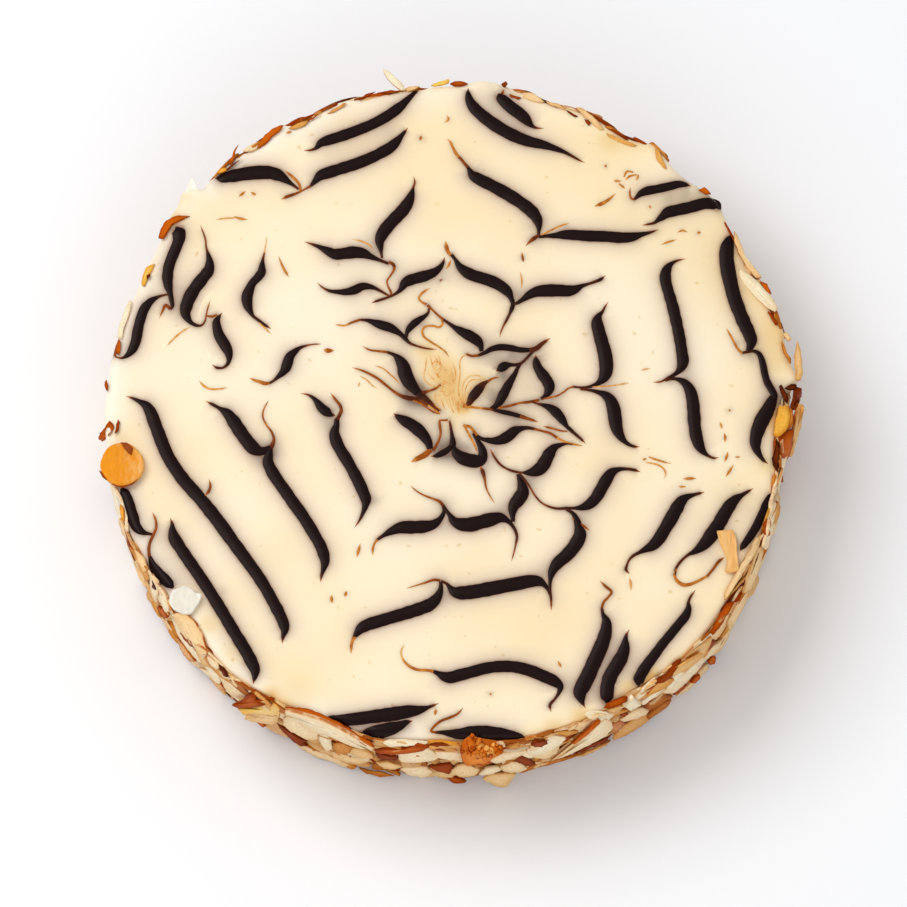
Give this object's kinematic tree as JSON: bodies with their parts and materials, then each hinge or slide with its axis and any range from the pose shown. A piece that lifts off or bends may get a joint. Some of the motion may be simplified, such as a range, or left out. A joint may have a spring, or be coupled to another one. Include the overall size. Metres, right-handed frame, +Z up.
{
  "type": "esterhazy torte",
  "caption": "Round uncut layered almond torte with poured icing, dark feathered lines on top and flaked almonds round its side.",
  "frame": {"origin": "centre of the flat base", "axes": "+Z up, square to the base; -Y is the side nearest the picture's camera"},
  "size_m": [0.1802, 0.1826, 0.0431],
  "materials": {
    "toasted_almond": "dry toasted flakes",
    "icing": "soft gloss, cream with near-black lines",
    "toasted_cut_face": "satin",
    "blanched_almond": "matte",
    "toasted_chip": "matte"
  },
  "bodies": {
    "root": {"cake_body": "toasted_almond", "fondant_icing": "icing", "toasted_almond_round": "toasted_cut_face", "blanched_almond_piece": "blanched_almond", "toasted_almond_chip": "toasted_chip"}
  },
  "joints": []
}
